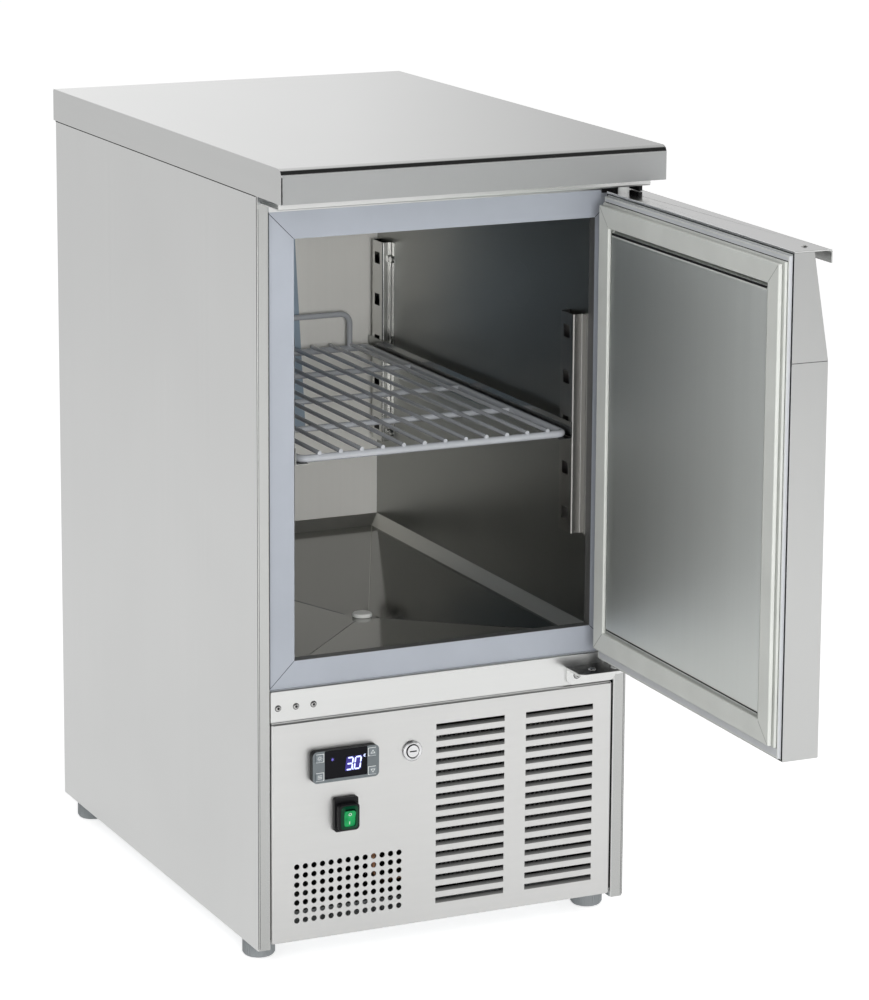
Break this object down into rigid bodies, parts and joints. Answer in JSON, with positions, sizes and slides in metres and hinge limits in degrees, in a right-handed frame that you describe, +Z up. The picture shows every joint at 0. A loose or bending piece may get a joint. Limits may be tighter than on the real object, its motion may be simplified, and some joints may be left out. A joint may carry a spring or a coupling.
{
  "type": "refrigerated prep table",
  "caption": "Narrow stainless steel refrigerated prep table with a hinged door standing open, a wire shelf inside, and a louvred control panel below.",
  "frame": {"origin": "on the floor, under the middle of the worktop", "axes": "+X to the right seen from the front, +Y to the back, +Z up"},
  "size_m": [0.4357, 1.0224, 0.86],
  "materials": {
    "stainless": "fine satin grain",
    "stainless_inside": "satin",
    "galvanised": "dull zinc",
    "core_board": "raw board",
    "foam": "foamed",
    "frame_plastic": "satin blue-grey",
    "gasket": "soft light grey",
    "cover_plastic": "satin blue-grey",
    "foot_plastic": "ribbed blue-grey",
    "drain_plastic": "satin",
    "shelf_coating": "grey coating over wire",
    "controller_case": "satin grey",
    "key_plastic": "satin grey",
    "black_plastic": "moulded",
    "green_lens": "clear green, lit",
    "chrome": "polished",
    "copper": "drawn copper",
    "fins": "bare",
    "black_paint": "satin black"
  },
  "bodies": {
    "cabinet": {"worktop_shell": "stainless", "left_side_panel": "stainless", "right_side_panel": "stainless", "top_rail": "stainless", "middle_rail": "stainless", "lower_hinge_bracket": "stainless", "liner_left": "stainless_inside", "liner_right": "stainless_inside", "liner_rear": "stainless_inside", "liner_ceiling": "stainless_inside", "liner_floor": "stainless_inside", "uprights_left": "stainless_inside", "uprights_right": "stainless_inside", "runner_left": "stainless_inside", "runner_right": "stainless_inside", "rear_panel": "galvanised", "base_tray": "galvanised", "pivot_pins": "galvanised", "worktop_core": "core_board", "insulation_foam": "foam", "breaker_left": "frame_plastic", "breaker_right": "frame_plastic", "breaker_top": "frame_plastic", "breaker_bottom": "frame_plastic", "evaporator_cover": "cover_plastic", "fan_hood": "cover_plastic", "drain_pipe": "drain_plastic", "cable_gland": "black_plastic", "drip_basin": "black_plastic", "refrigerant_lines": "copper", "evaporator_coil": "copper", "condenser_coil": "fins", "compressor": "black_paint", "condenser_fan_motor": "black_paint", "evaporator_fan_motor": "black_paint"},
    "door": {"door_skin": "stainless", "door_foam": "foam", "door_liner": "stainless_inside", "door_grip": "stainless", "door_retainer": "frame_plastic", "door_gasket": "gasket", "hinge_bushes": "cover_plastic"},
    "shelf": {"wire_shelf": "shelf_coating"},
    "panel": {"control_panel": "stainless", "controller": "controller_case", "lock_body": "chrome", "rocker_frame": "black_plastic"},
    "lock": {"lock_barrel": "chrome"},
    "rocker": {"rocker_switch": "green_lens"},
    "light_key": {"light_button": "key_plastic"},
    "set_key": {"set_button": "key_plastic"},
    "up_key": {"up_button": "key_plastic"},
    "down_key": {"down_button": "key_plastic"},
    "foot_fl": {"foot_front_left": "foot_plastic"},
    "foot_fr": {"foot_front_right": "foot_plastic"},
    "foot_rl": {"foot_rear_left": "foot_plastic"},
    "foot_rr": {"foot_rear_right": "foot_plastic"},
    "condenser_wheel": {"condenser_fan": "black_plastic"},
    "evaporator_wheel": {"evaporator_fan": "black_plastic"},
    "plug": {"drain_plug": "drain_plastic"}
  },
  "joints": [
    {"name": "door_hinge", "type": "hinge", "parent": "cabinet", "child": "door", "pos_m": [0.191, -0.291, 0.55], "axis": [0, 0, 1], "range_deg": [-89, 31]},
    {"name": "shelf_slide", "type": "slide", "parent": "cabinet", "child": "shelf", "axis": [0, -1, 0], "range_m": [0, 0.32]},
    {"name": "panel_tilt", "type": "hinge", "parent": "cabinet", "child": "panel", "pos_m": [0, -0.259, 0.03], "axis": [1, 0, 0], "range_deg": [0, 70]},
    {"name": "lock_turn", "type": "hinge", "parent": "panel", "child": "lock", "pos_m": [-0.0386, -0.265, 0.2175], "axis": [0, -1, 0], "range_deg": [0, 90]},
    {"name": "rocker_tilt", "type": "hinge", "parent": "panel", "child": "rocker", "pos_m": [-0.1166, -0.2715, 0.1577], "axis": [-1, 0, 0], "range_deg": [0, 16]},
    {"name": "light_key_press", "type": "slide", "parent": "panel", "child": "light_key", "axis": [0, 1, 0], "range_m": [0, 0.0006], "stiffness_N_per_m": 400},
    {"name": "set_key_press", "type": "slide", "parent": "panel", "child": "set_key", "axis": [0, 1, 0], "range_m": [0, 0.0006], "stiffness_N_per_m": 400},
    {"name": "up_key_press", "type": "slide", "parent": "panel", "child": "up_key", "axis": [0, 1, 0], "range_m": [0, 0.0006], "stiffness_N_per_m": 400},
    {"name": "down_key_press", "type": "slide", "parent": "panel", "child": "down_key", "axis": [0, 1, 0], "range_m": [0, 0.0006], "stiffness_N_per_m": 400},
    {"name": "foot_fl_level", "type": "slide", "parent": "cabinet", "child": "foot_fl", "axis": [0, 0, -1], "range_m": [0, 0.015]},
    {"name": "foot_fr_level", "type": "slide", "parent": "cabinet", "child": "foot_fr", "axis": [0, 0, -1], "range_m": [0, 0.015]},
    {"name": "foot_rl_level", "type": "slide", "parent": "cabinet", "child": "foot_rl", "axis": [0, 0, -1], "range_m": [0, 0.015]},
    {"name": "foot_rr_level", "type": "slide", "parent": "cabinet", "child": "foot_rr", "axis": [0, 0, -1], "range_m": [0, 0.015]},
    {"name": "condenser_fan_spin", "type": "hinge", "parent": "cabinet", "child": "condenser_wheel", "pos_m": [0.0835, -0.176, 0.1252], "axis": [0, 1, 0], "continuous": true},
    {"name": "evaporator_fan_spin", "type": "hinge", "parent": "cabinet", "child": "evaporator_wheel", "pos_m": [-0.05, 0.264, 0.683], "axis": [0, 1, 0], "continuous": true},
    {"name": "plug_lift", "type": "slide", "parent": "cabinet", "child": "plug", "axis": [0, 0, 1], "range_m": [0, 0.03]}
  ]
}
